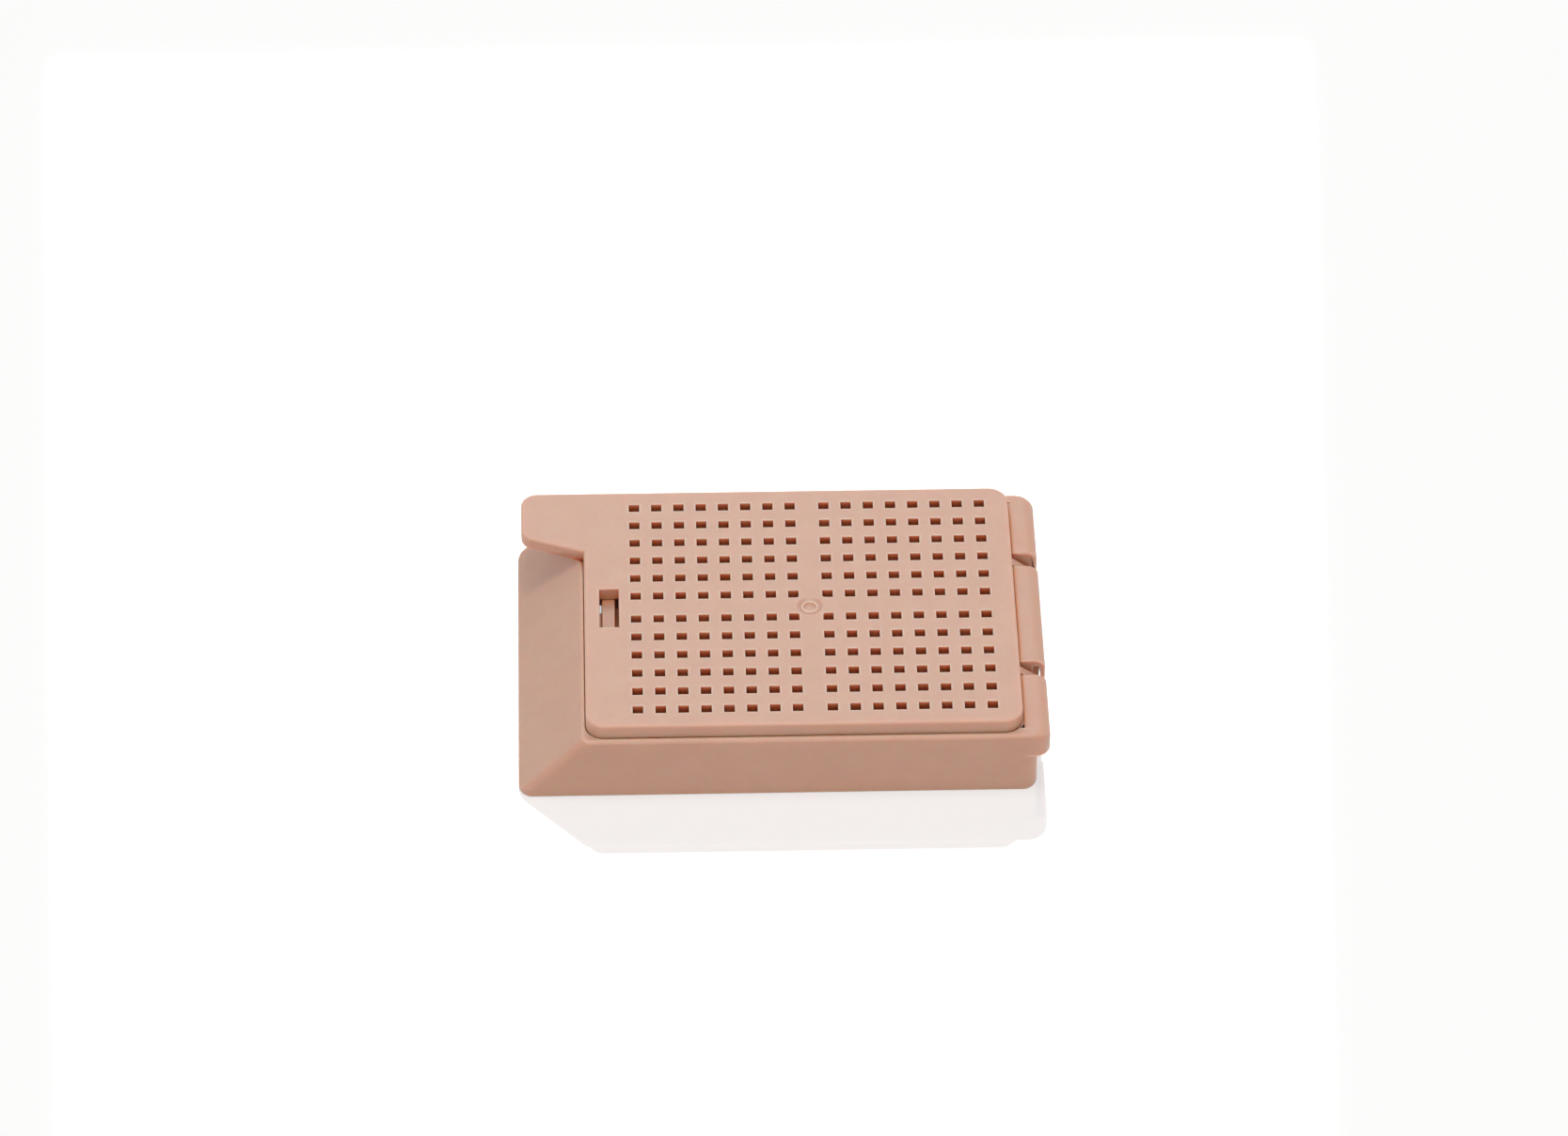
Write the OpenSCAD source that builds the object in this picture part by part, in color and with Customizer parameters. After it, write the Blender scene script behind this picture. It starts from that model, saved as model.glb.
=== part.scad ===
// Tissue cassette: a shallow tray with a perforated floor, a sloped writing
// face at one end and a perforated lid that swings on two moulded straps.
// +X runs to the hinge end, -X to the writing face, +Z up.
// The origin is under the middle of the tray, on the surface it stands on.

/* [Overall] */
// Length over the writing face and the hinge flange
length = 41; // [34:0.5:50]
// Width over the two long walls
width = 28.1; // [23:0.1:34]
// Height of the tray's rim
rim_h = 5.65; // [4.5:0.05:8]

/* [Tray] */
// Thickness of the long walls
wall_t = 1.05; // [0.85:0.05:1.4]
// Thickness of the wall at the hinge end, above the seat
end_wall_t = 1.05; // [0.8:0.05:1.4]
// Width of the seat along the hinge end
end_seat_w = 0.5; // [0.3:0.05:0.7]
// Thickness of the perforated floor
floor_t = 1; // [0.7:0.1:1.3]
// Radius of the tray's upright corners
corner_r = 1.2; // [0.5:0.1:2.4]
// Radius of the chamber's upright corners
chamber_r = 0.5; // [0.2:0.1:1]
// Thickness of the thin rim that stands around the lid
rim_t = 0.4; // [0.3:0.05:0.55]
// Rounding of the rim's outer edges over the long walls
rim_edge_r = 0.3; // [0.05:0.05:0.3]
// Depth of the seat that the lid drops into, below the rim
seat_drop = 0.2; // [0.1:0.05:0.4]
// Side of the square that each small pit beside the seat's hinge corners lies in
corner_pit = 0.6; // [0.5:0.05:0.8]
// Distance of the pits from the seat's long edges
corner_pit_inset = 0.55; // [0.4:0.05:0.8]
// Depth of those pits below the rim
corner_pit_depth = 1.2; // [0.5:0.1:1.8]

/* [Writing face] */
// Length of the sloped face, along the tray
slope_run = 4.95; // [4:0.05:6.5]
// Height of the upright edge under the slope
slope_toe = 0.35; // [0.2:0.05:0.8]
// Rounding of the edges between the slope and the long walls
slope_edge_r = 0.6; // [0.2:0.05:0.9]
// Thickness of the sloped plate
slope_t = 1; // [0.7:0.05:1.2]
// Thickness of the deck between the slope and the chamber
deck_t = 1; // [0.7:0.05:1.2]

/* [Hinge flange] */
// How far the flange stands out past the end wall
flange_reach = 0.95; // [0.85:0.05:1.4]
// Thickness of the flange's top
flange_t = 0.55; // [0.4:0.05:0.7]
// Thickness of the flange's downturned lip where it leaves the top
lip_root_t = 0.5; // [0.4:0.02:0.6]
// Thickness of the lip at its lower edge
lip_t = 0.28; // [0.2:0.02:0.4]
// Depth of the lip, from the rim down
lip_drop = 2.15; // [1.6:0.05:3]
// Rounding of the flange's outer edge
flange_edge_r = 0.75; // [0.5:0.05:0.8]
// Rounding of the flange's edge along the lid
flange_inner_r = 0.3; // [0.1:0.05:0.4]
// Radius of the flange's corners seen from above
flange_corner_r = 1.1; // [0.8:0.1:2]
// Thickness of the webs that close the flange's lengths
flange_web_t = 0.5; // [0.3:0.05:0.8]
// How far the middle length's webs lie inside its ends
flange_web_inset = 0.6; // [0.3:0.05:1]

/* [Lid] */
// Thickness of the lid plate
lid_t = 1.1; // [0.85:0.05:1.3]
// How far the lid stands above the rim
lid_rise = 1.2; // [1.15:0.05:1.7]
// Gap between the lid's edge and the rim
lid_gap = 0.1; // [0.05:0.01:0.14]
// Gap between the lid's edge and the flange
hinge_gap = 0.1; // [0.08:0.01:0.2]
// Width of the bead under the lid's edge
bead_w = 0.75; // [0.6:0.05:0.9]
// Rounding of the lid's top edge
lid_edge_r = 0.2; // [0.1:0.05:0.5]
// Radius of the lid's corners at the hinge end
lid_corner_r = 1.6; // [1:0.1:2.6]
// Radius of the lid's free corner at the writing end
lid_free_corner_r = 1.4; // [0.8:0.1:2]

/* [Finger tab] */
// How far the tab reaches past the lid's edge
tab_reach = 4.9; // [3:0.05:4.95]
// Width of the tab where it leaves the lid
tab_w = 6.9; // [5:0.1:9]
// Angle at which the tab narrows towards its tip
tab_skew = 20; // [0:1:30]
// Radius of the tab's corners
tab_corner_r = 1.3; // [0.6:0.1:1.6]

/* [Perforations] */
// Side of each square hole
hole = 0.8; // [0.5:0.05:1]
// Spacing of the holes along the tray
pitch_x = 1.76; // [1.45:0.01:2.6]
// Spacing of the holes across the tray
pitch_y = 2.07; // [1.7:0.01:2.8]
// Spacing of the two middle columns, across the plain band
band_x = 2.67; // [2.2:0.01:4]
// Spacing of the two middle rows, across the plain band
band_y = 2.64; // [2.2:0.01:4]
// Least plain border between the holes and the lid's long edges
border_y = 1.35; // [1.2:0.05:2.4]
// Plain border between the last holes and the lid's hinge edge
border_end = 1.91; // [1.2:0.01:2.6]
// Least plain border between the first holes and the latch tongue
border_latch = 0.15; // [0.1:0.05:1]
// Radius of the plain disc at the middle, where the moulding gate was
gate_disc_r = 1.4; // [1.2:0.05:1.6]
// Diameter of the shallow dish around the gate mark
gate_dish_d = 2.2; // [1.4:0.1:2.4]
// Depth of the dish
gate_dish_depth = 0.12; // [0.05:0.01:0.3]
// Outer diameter of the ring left in the dish
gate_ring_d = 1.2; // [0.8:0.1:1.3]
// Width of that ring
gate_ring_w = 0.3; // [0.1:0.05:0.35]

/* [Latch] */
// Length of the lid's latch window, across the tray
window_l = 4.4; // [3:0.1:6]
// Width of the latch window
window_w = 1.49; // [1.4:0.01:1.8]
// Distance of the window from the lid's edge
window_inset = 1.2; // [1.05:0.05:1.6]
// Width of the catch bar along the top of the chamber's wall
catch_w = 1.06; // [0.9:0.02:1.14]
// Gap between the catch bar and the window's outer edge
catch_gap = 0.15; // [0.1:0.01:0.2]
// Height of the catch bar above the latch recess
catch_h = 0.8; // [0.6:0.05:1]
// Depth of the recess under the catch bar
recess_depth = 0.45; // [0.35:0.05:0.55]
// Thickness of the lid's latch tongue
tongue_t = 0.7; // [0.5:0.05:0.9]
// Length of the latch tongue below the lid plate
tongue_l = 1.8; // [1.6:0.05:2.2]
// How far the tongue's barb hooks under the catch bar
barb_catch = 0.25; // [0.15:0.01:0.3]
// Length of each relief slot beside the catch bar
relief_l = 2; // [1:0.1:2.5]
// Width of the web between the two relief slots
relief_web = 1.8; // [1:0.1:3]
// Width of the relief slots
relief_w = 0.2; // [0.1:0.05:0.3]

/* [Hinge straps] */
// Distance of each strap from the middle of the tray
strap_y = 6.27; // [4:0.01:9]
// Width of a strap
strap_w = 0.8; // [0.6:0.05:1.2]
// Thickness of a strap
strap_t = 0.3; // [0.2:0.01:0.32]
// Length of the strap's end that lies under the lid's edge
strap_lap = 0.4; // [0.3:0.05:0.6]
// Radius of the bend where the strap leaves the lid's edge
strap_bend_r = 0.35; // [0.33:0.01:0.5]
// Outer radius of the strap's loop
strap_loop_r = 0.42; // [0.4:0.01:0.5]
// How far the middle of the loop lies past the end wall
strap_loop_reach = 0.03; // [0:0.01:0.06]
// Depth of the middle of the loop below the rim
strap_loop_depth = 1.5; // [1.3:0.05:1.7]
// Width of the slot in the flange that each strap lies in
strap_slot_w = 1.45; // [1.3:0.05:2]

/* [Hidden] */
$fn = 48;

eps = 0.01;                              // overlap that keeps cuts clean
clear = 1;                               // how far a cut runs past a surface
latch_fit = 0.05;                        // clearance between closed latch faces
tongue_fit = 0.1;                        // clearance at the tongue's sides and tip

// Tray
toe_x = -length / 2;
flange_x = length / 2;
side_y = width / 2;
wall_x = flange_x - flange_reach;        // outer face of the end wall
seat_x1 = wall_x - end_wall_t;
chamber_x1 = seat_x1 - end_seat_w;
chamber_y = side_y - wall_t;
seat_y = side_y - rim_t;
seat_z = rim_h - seat_drop;
pit_y = seat_y - corner_pit_inset;
lip_z = rim_h - lip_drop;
slope_x = toe_x + slope_run;             // top of the slope
slope_a = atan2(rim_h - slope_toe, slope_run);
slope_back = slope_t / sin(slope_a);     // the sloped plate, measured level
rim_end_t = 0.2;                         // the rim's thickness above the slope

// Lid
seat_x0 = slope_x + rim_end_t;
lid_x0 = seat_x0 + lid_gap;
lid_x1 = seat_x1 - hinge_gap;
lid_y = seat_y - lid_gap;
lid_top = rim_h + lid_rise;
lid_under = lid_top - lid_t;
tab_x = lid_x0 - tab_reach;
tab_foot_y = lid_y - tab_w;              // where the tab's slanted edge starts

// Latch
window_x0 = lid_x0 + window_inset;
window_x1 = window_x0 + window_w;
catch_x0 = window_x0 + catch_gap;
catch_x1 = catch_x0 + catch_w;
catch_z = lid_under - latch_fit;
recess_z = catch_z - catch_h;
tongue_x1 = window_x1 + tongue_t;
tongue_w = window_l - 2 * tongue_fit;
tongue_z = lid_under - tongue_l;
barb_x = catch_x1 - barb_catch;
barb_z = recess_z - latch_fit;
barb_tip_h = 0.2;                        // upright face at the barb's tip

// Perforations
grid_x1 = lid_x1 - border_end;
grid_x0 = tongue_x1 + border_latch;
cols = floor((grid_x1 - grid_x0 - hole - band_x) / 2 / pitch_x) + 1;
rows = floor((lid_y - border_y - (hole + band_y) / 2) / pitch_y) + 1;
grid_cx = grid_x1 - hole / 2 - band_x / 2 - (cols - 1) * pitch_x;

// Hinge: the lid turns about the middle of the straps' loops
hinge = [wall_x + strap_loop_reach, rim_h - strap_loop_depth];
strap_root_z = hinge.y - strap_loop_r + strap_t;  // top of the end wall in the slots
bend = [lid_x1, seat_z - strap_bend_r];  // centre of the bend at the lid's edge
// angle at which the straight stretch leaves the bend and meets the loop
strap_turn = atan2(hinge.y - bend.y, hinge.x - bend.x)
    + acos((strap_bend_r - strap_loop_r) / norm(hinge - bend));

TRAY_COLOUR = [0.8, 0.64, 0.56];
LID_COLOUR = [0.86, 0.72, 0.66];
STRAP_COLOUR = [0.75, 0.58, 0.5];

// Box between two opposite corners
module block(low, high) {
    translate(low) cube(high - low);
}

// Rectangle between two opposite corners, rounded by r
module round_rect(low, high, r) {
    translate([low.x + r, low.y]) square([high.x - low.x - 2 * r, high.y - low.y]);
    translate([low.x, low.y + r]) square([high.x - low.x, high.y - low.y - 2 * r]);
    for (x = [low.x + r, high.x - r], y = [low.y + r, high.y - r])
        translate([x, y]) circle(r);
}

// Stands a drawing of X and Z up and extrudes it across the tray, w wide
module across(w, y = 0) {
    translate([0, y, 0]) rotate([90, 0, 0]) linear_extrude(w, center = true) children();
}

// Places of the holes along one axis, on both sides of the plain band
function stations(count, pitch, band) =
    [for (side = [-1, 1], i = [0 : count - 1]) side * (band / 2 + i * pitch)];

// The square holes seen from above, kept clear of the plain disc
module hole_pattern() {
    translate([grid_cx, 0]) difference() {
        for (x = stations(cols, pitch_x, band_x), y = stations(rows, pitch_y, band_y))
            translate([x, y]) square(hole, center = true);
        circle(gate_disc_r);
    }
}

// ---- Tray ----

// Side view of the tray without its flange
module tray_profile() {
    polygon([[toe_x, 0], [wall_x, 0], [wall_x, rim_h], [slope_x, rim_h], [toe_x, slope_toe]]);
}

// Side view of the hollow under the sloped plate, open below
module slope_hollow_profile() {
    foot_x = toe_x + slope_back - slope_toe / tan(slope_a);
    ceiling = seat_z - deck_t;
    polygon([
        [foot_x - clear / tan(slope_a), -clear], [catch_x0, -clear],
        [catch_x0, ceiling], [foot_x + ceiling / tan(slope_a), ceiling]
    ]);
}

// Bar of the tray's width along +X with its top at 0 and its top edges rounded
module rounded_bar(run, depth, r) {
    rotate([90, 0, 90]) linear_extrude(run) {
        translate([-side_y, -depth]) square([width, depth - r]);
        translate([r - side_y, -depth]) square([width - 2 * r, depth]);
        for (y = [r - side_y, side_y - r]) translate([y, -r]) circle(r);
    }
}

// Everything under the rim, with the rim's outer edges rounded
module under_rim() {
    translate([toe_x - clear, 0, rim_h])
        rounded_bar(length + 2 * clear, rim_h + clear, rim_edge_r);
}

// Everything under the slope's plane, with the slope's long edges rounded
module under_slope() {
    translate([toe_x, 0, slope_toe]) rotate([0, -slope_a, 0])
        translate([-clear, 0, 0]) rounded_bar(2 * length, length, slope_edge_r);
}

// Discs that round the seat's corners at the hinge end
module seat_corner_discs() {
    r = lid_corner_r;
    for (y = [r - seat_y, seat_y - r]) translate([seat_x1 - r, y]) circle(r);
}

// Outline of the seat, which follows the lid's corners; beside those at the
// hinge end it runs on to the flange as far as the pits
module seat_outline() {
    r = lid_free_corner_r + lid_gap;
    low = [seat_x0, -seat_y];
    difference() {
        translate(low) square([seat_x1 - lid_corner_r - low.x, 2 * seat_y]);
        translate(low) square(r);
    }
    translate(low + [r, r]) circle(r);
    seat_corner_discs();
    translate([low.x + r, -pit_y]) square([seat_x1 - low.x - r, 2 * pit_y]);
}

// Outline of the flange seen from above, run on over the tray
module flange_outline() {
    round_rect([0, -side_y], [flange_x, side_y], flange_corner_r);
}

// Walls, deck, writing face and floor
module tray_shell() {
    difference() {
        intersection() {
            union() {
                linear_extrude(rim_h)
                    round_rect([toe_x, -side_y], [wall_x, side_y], corner_r);
                // the hinge corners level with the flange follow its outline
                translate([0, 0, lip_z]) linear_extrude(lip_drop) flange_outline();
            }
            across(width) tray_profile();
            under_rim();
            under_slope();
        }
        translate([0, 0, floor_t]) linear_extrude(rim_h)
            round_rect([catch_x1, -chamber_y], [chamber_x1, chamber_y], chamber_r);
        translate([0, 0, seat_z]) linear_extrude(seat_drop + clear) seat_outline();
        across(2 * chamber_y) slope_hollow_profile();
    }
}

// Section of the flange, either solid or a top with a downturned lip
module flange_profile(solid) {
    difference() {
        union() {
            translate([wall_x - eps, lip_z])
                square([flange_reach - flange_edge_r + eps, lip_drop]);
            translate([wall_x - eps, lip_z])
                square([flange_reach + eps, lip_drop - flange_edge_r]);
            translate([flange_x - flange_edge_r, rim_h - flange_edge_r]) circle(flange_edge_r);
        }
        if (!solid)
            polygon([
                [wall_x, lip_z - clear], [flange_x - lip_t, lip_z - clear],
                [flange_x - lip_t, lip_z], [flange_x - lip_root_t, rim_h - flange_t],
                [wall_x, rim_h - flange_t]
            ]);
    }
}

// Flange past the end wall, with webs across its hollow
module flange() {
    webs = [
        strap_y - strap_slot_w / 2 - flange_web_inset - flange_web_t / 2,
        strap_y + strap_slot_w / 2 + flange_web_t / 2,
        side_y - flange_web_t / 2
    ];
    intersection() {
        union() {
            across(width) flange_profile(false);
            for (side = [-1, 1], y = webs) across(flange_web_t, side * y) flange_profile(true);
        }
        translate([0, 0, lip_z]) linear_extrude(lip_drop) flange_outline();
        under_rim();
    }
}

// What the rounding of the flange's edge along the lid takes away
module inner_edge_cut() {
    r = flange_inner_r;
    low_z = max(seat_z, rim_h - r);
    across(2 * pit_y) difference() {
        translate([seat_x1 - eps, low_z]) square([r + eps, rim_h + clear - low_z]);
        translate([seat_x1 + r, rim_h - r]) circle(r);
    }
}

// Bar along the top of the chamber's wall, which the latch hooks under
module catch_bar() {
    end_y = chamber_y - bead_w;
    block([catch_x0, -end_y, seat_z - seat_drop], [catch_x1, end_y, catch_z]);
}

// Pits between the flange and the seat's rounded corners
module corner_pits() {
    translate([0, 0, rim_h - corner_pit_depth]) linear_extrude(corner_pit_depth + clear)
        difference() {
            for (y = [-pit_y, pit_y - corner_pit])
                translate([seat_x1 - corner_pit, y]) square(corner_pit);
            seat_corner_discs();
        }
}

// Slots that the hinge straps lie in
module strap_slots() {
    for (y = [-strap_y, strap_y]) {
        block([seat_x1 - clear, y - strap_slot_w / 2, strap_root_z],
              [flange_x + clear, y + strap_slot_w / 2, rim_h + clear]);
        block([wall_x, y - strap_slot_w / 2, lip_z - clear],
              [flange_x + clear, y + strap_slot_w / 2, rim_h + clear]);
    }
}

// Recess under the catch bar, and the relief slots beside it
module latch_cuts() {
    block([catch_x1 - recess_depth, -window_l / 2, tongue_z - tongue_fit],
          [catch_x1 + clear, window_l / 2, recess_z]);
    for (y = [-relief_web / 2 - relief_l, relief_web / 2])
        block([catch_x0 - relief_w, y, seat_z - deck_t - clear],
              [catch_x0, y + relief_l, rim_h + clear]);
}

module base() {
    color(TRAY_COLOUR) difference() {
        union() {
            tray_shell();
            flange();
            catch_bar();
        }
        inner_edge_cut();
        corner_pits();
        strap_slots();
        latch_cuts();
        translate([0, 0, -clear]) linear_extrude(floor_t + 2 * clear) hole_pattern();
    }
}

// ---- Lid ----

// Section of the lid plate from u = 0 out to its rounded edge at u = w
module edge_section(w) {
    square([w - lid_edge_r, lid_t]);
    square([w, lid_t - lid_edge_r]);
    translate([w - lid_edge_r, lid_t - lid_edge_r])
        intersection() {
            circle(lid_edge_r);
            square(lid_edge_r);
        }
}

// Rounded edge strip from one point to the next, with the outside on its right
module edge_run(from, to) {
    run = to - from;
    translate([from.x, from.y, lid_under]) rotate([0, 0, atan2(run.y, run.x)])
        translate([0, lid_edge_r, 0]) rotate([90, 0, 90]) linear_extrude(norm(run))
            mirror([1, 0]) intersection() {
                translate([-lid_edge_r, 0]) edge_section(2 * lid_edge_r);
                square([lid_edge_r, lid_t]);
            }
}

// Rounded corner of the plate: a quarter turn of its section
module edge_corner(centre, r, start) {
    translate([centre.x, centre.y, lid_under]) rotate([0, 0, start])
        rotate_extrude(angle = 90) edge_section(r);
}

// Plain disc of the plate with a rounded edge, for hull()
module puck(centre, r) {
    translate([centre.x, centre.y, lid_under]) rotate_extrude($fn = 32) edge_section(r);
}

// The lid plate without its tab
module lid_slab() {
    e = lid_edge_r;
    r = lid_corner_r;
    f = lid_free_corner_r;
    translate([0, 0, lid_under]) linear_extrude(lid_t) difference() {
        translate([lid_x0 + e, -lid_y + e])
            square([lid_x1 - lid_x0 - 2 * e, 2 * (lid_y - e)]);
        translate([lid_x0, -lid_y]) square(f);
        translate([lid_x1 - r, -lid_y]) square(r);
        translate([lid_x1 - r, lid_y - r]) square(r);
    }
    edge_corner([lid_x0 + f, -lid_y + f], f, 180);
    edge_corner([lid_x1 - r, -lid_y + r], r, 270);
    edge_corner([lid_x1 - r, lid_y - r], r, 0);
    edge_run([lid_x0 + f, -lid_y], [lid_x1 - r, -lid_y]);
    edge_run([lid_x1, -lid_y + r], [lid_x1, lid_y - r]);
    edge_run([lid_x1 - r, lid_y], [lid_x0, lid_y]);
    edge_run([lid_x0, tab_foot_y], [lid_x0, -lid_y + f]);
    // full thickness where the tab joins
    block([lid_x0, tab_foot_y, lid_under], [lid_x0 + e, lid_y - e, lid_top]);
}

// Centre of a disc of radius tab_corner_r that touches the tab's slanted edge
function tab_disc(x) =
    [x, tab_foot_y + ((lid_x0 - x) * sin(tab_skew) + tab_corner_r) / cos(tab_skew)];

// The finger tab, over the writing face
module finger_tab() {
    root_x = lid_x0 + 2 * tab_corner_r;
    tip_x = tab_x + tab_corner_r;
    back_y = lid_y - tab_corner_r;
    intersection() {
        hull() {
            puck([tip_x, back_y], tab_corner_r);
            puck([root_x, back_y], tab_corner_r);
            puck(tab_disc(tip_x), tab_corner_r);
            puck(tab_disc(root_x), tab_corner_r);
        }
        block([tab_x - clear, -lid_y, 0], [lid_x0, lid_y + clear, lid_top + clear]);
    }
}

// Outline of the lid without its tab, drawn in by inset
module lid_outline(inset) {
    f = lid_free_corner_r - inset;
    r = lid_corner_r - inset;
    low = [lid_x0 + inset, -lid_y + inset];
    high = [lid_x1 - inset, lid_y - inset];
    difference() {
        translate(low) square(high - low);
        translate(low) square(f);
        translate([high.x - r, low.y]) square(r);
        translate([high.x - r, high.y - r]) square(r);
    }
    translate(low + [f, f]) circle(f);
    translate([high.x - r, low.y + r]) circle(r);
    translate([high.x - r, high.y - r]) circle(r);
}

// Bead under the lid's edge, which sits on the tray's seat
module lid_bead() {
    translate([0, 0, seat_z]) linear_extrude(lid_under - seat_z) difference() {
        lid_outline(0);
        lid_outline(bead_w);
    }
}

// Latch tongue with its barb
module latch_tongue() {
    across(tongue_w) polygon([
        [tongue_x1, lid_under], [window_x1, lid_under], [window_x1, barb_z],
        [barb_x, barb_z], [barb_x, barb_z - barb_tip_h], [window_x1, tongue_z],
        [tongue_x1, tongue_z]
    ]);
}

// Dish and ring left by the moulding gate
module gate_mark() {
    translate([grid_cx, 0, lid_top - gate_dish_depth]) linear_extrude(clear) difference() {
        circle(d = gate_dish_d);
        difference() {
            circle(d = gate_ring_d);
            circle(d = gate_ring_d - 2 * gate_ring_w);
        }
    }
}

module lid() {
    color(LID_COLOUR) difference() {
        union() {
            lid_slab();
            finger_tab();
            lid_bead();
            latch_tongue();
        }
        translate([0, 0, lid_under - clear]) linear_extrude(lid_t + 2 * clear) hole_pattern();
        block([window_x0, -window_l / 2, lid_under - clear],
              [window_x1, window_l / 2, lid_top + clear]);
        gate_mark();
    }
}

// ---- Hinge straps ----

// Point at an angle on a circle
function polar(centre, r, angle) = centre + r * [cos(angle), sin(angle)];

// Side view of the strap's band where it turns about a centre, between two angles
module band_turn(centre, r, from, to) {
    far = 3 * r;
    intersection() {
        translate(centre) difference() {
            circle(r);
            circle(r - strap_t);
        }
        polygon([
            centre, polar(centre, far, from), polar(centre, far, (2 * from + to) / 3),
            polar(centre, far, (from + 2 * to) / 3), polar(centre, far, to)
        ]);
    }
}

// Side view of the band's straight stretch, from the bend to the loop
module band_stretch() {
    polygon([
        polar(bend, strap_bend_r, strap_turn), polar(hinge, strap_loop_r, strap_turn),
        polar(hinge, strap_loop_r - strap_t, strap_turn),
        polar(bend, strap_bend_r - strap_t, strap_turn)
    ]);
}

// Strap: flat under the lid's edge, bent down, and looped back to the end wall
module hinge_strap(y) {
    side = y - strap_w / 2;
    color(STRAP_COLOUR) {
        block([lid_x1 - strap_lap, side, seat_z - strap_t], [lid_x1, side + strap_w, seat_z]);
        across(strap_w, y) band_turn(bend, strap_bend_r, 90, strap_turn);
        across(strap_w, y) band_stretch();
        across(strap_w, y) band_turn(hinge, strap_loop_r, strap_turn, -90);
        block([wall_x, side, hinge.y - strap_loop_r], [hinge.x, side + strap_w, strap_root_z]);
    }
}

base();
lid();
hinge_strap(strap_y);  // hinge_strap_rear
hinge_strap(-strap_y);  // hinge_strap_front
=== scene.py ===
import math
import bmesh
import bpy
from mathutils import Matrix, Vector


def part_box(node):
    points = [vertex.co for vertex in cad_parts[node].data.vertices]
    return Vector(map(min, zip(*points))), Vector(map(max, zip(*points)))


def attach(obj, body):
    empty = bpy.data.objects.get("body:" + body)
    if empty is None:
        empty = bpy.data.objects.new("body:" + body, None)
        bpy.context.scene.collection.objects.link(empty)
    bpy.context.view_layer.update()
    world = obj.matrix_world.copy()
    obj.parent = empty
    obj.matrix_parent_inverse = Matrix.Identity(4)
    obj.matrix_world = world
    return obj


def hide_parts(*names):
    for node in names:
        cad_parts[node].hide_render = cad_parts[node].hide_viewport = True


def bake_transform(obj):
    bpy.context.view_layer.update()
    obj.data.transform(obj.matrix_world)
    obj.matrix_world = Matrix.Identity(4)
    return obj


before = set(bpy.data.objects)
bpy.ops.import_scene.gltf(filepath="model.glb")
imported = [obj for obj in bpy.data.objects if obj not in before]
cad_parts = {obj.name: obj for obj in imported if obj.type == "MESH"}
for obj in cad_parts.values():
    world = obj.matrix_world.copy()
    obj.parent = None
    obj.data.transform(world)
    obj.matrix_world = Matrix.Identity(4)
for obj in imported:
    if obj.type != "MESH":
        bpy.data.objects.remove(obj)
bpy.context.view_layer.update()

# Tissue cassette: detailed meshes of the tray, the lid and the two hinge straps, in matte salmon
# plastic, on a glossy white floor. Meshes are drawn in millimetres in the row frame, +Z up, +X to
# the hinge end, and scaled to metres when they are finished.

MM = 0.001


def box_mm(node):
    """Lowest and highest corner of a CAD node, in millimetres."""
    return [Vector(round(c / MM, 3) for c in corner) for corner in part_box(node)]


TRAY_LOW, TRAY_HIGH = box_mm("base")
LID_LOW, LID_HIGH = box_mm("lid")
STRAP_LOW, STRAP_HIGH = box_mm("hinge_strap_rear")

# Tray
TOE_X, FLANGE_X, SIDE_Y = TRAY_LOW.x, TRAY_HIGH.x, TRAY_HIGH.y
RIM_Z = 5.65
RIM_T = 0.4  # width of the rim beside the lid
RIM_EDGE_R = 0.3
CORNER_R = 1.2
SEAT_Z = RIM_Z - 0.2
FLOOR_T = 1.0
WALL_X = FLANGE_X - 0.95  # outer face of the end wall
SEAT_X1 = WALL_X - 1.05  # its inner face above the seat
CHAMBER_X = SEAT_X1 - 0.5  # and below
CHAMBER_Y = SIDE_Y - 1.05
CHAMBER_R = 0.5  # upright corners of the chamber
CHAMBER_FLOOR_R = 0.3
SLOPE_X = TOE_X + 4.95
SLOPE_TOE = 0.35
SLOPE_T = 1.0
SLOPE_EDGE_R = 0.6
SLOPE_ANGLE = math.atan2(RIM_Z - SLOPE_TOE, SLOPE_X - TOE_X)
DECK_Z = SEAT_Z - 1.0  # underside of the deck
RIM_END_T = 0.2
LIP_Z = RIM_Z - 2.15  # underside of the flange and its lip
LIP_ROOT_T = 0.5
LIP_T = 0.28
FLANGE_T = 0.55
FLANGE_EDGE_RUN, FLANGE_EDGE_DROP = 0.9, 0.75  # curve of its top down to its outer side
FLANGE_INNER_RUN, FLANGE_INNER_DROP = 0.55, 0.13  # and down to the lid
FLANGE_TOP_MIN = 0.02  # least flat top between the two curves
FLANGE_CORNER_R = 1.1
WEB_T = 0.5
WEB_INSET = 0.35
WEB_X1 = FLANGE_X - LIP_ROOT_T + 0.05  # the middle length's webs leave its lip low down
PIT = 0.6  # the small pits between the lid's corners and the flange
PIT_Y = SIDE_Y - RIM_T - 0.55
PIT_Z = RIM_Z - 1.2
RIM_INNER_R = 0.07
CREST_R = 0.2
TOE_EDGE_R = 0.12
SLOT_EDGE_R = 0.22  # ends of the flange's outer lengths
HOOK_EDGE_R = 0.15  # ends of the middle length, outside
HOOK_INNER_R = 0.03  # and inside its hollow
LIP_R = 0.1
ROOF_R = 0.15

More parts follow.
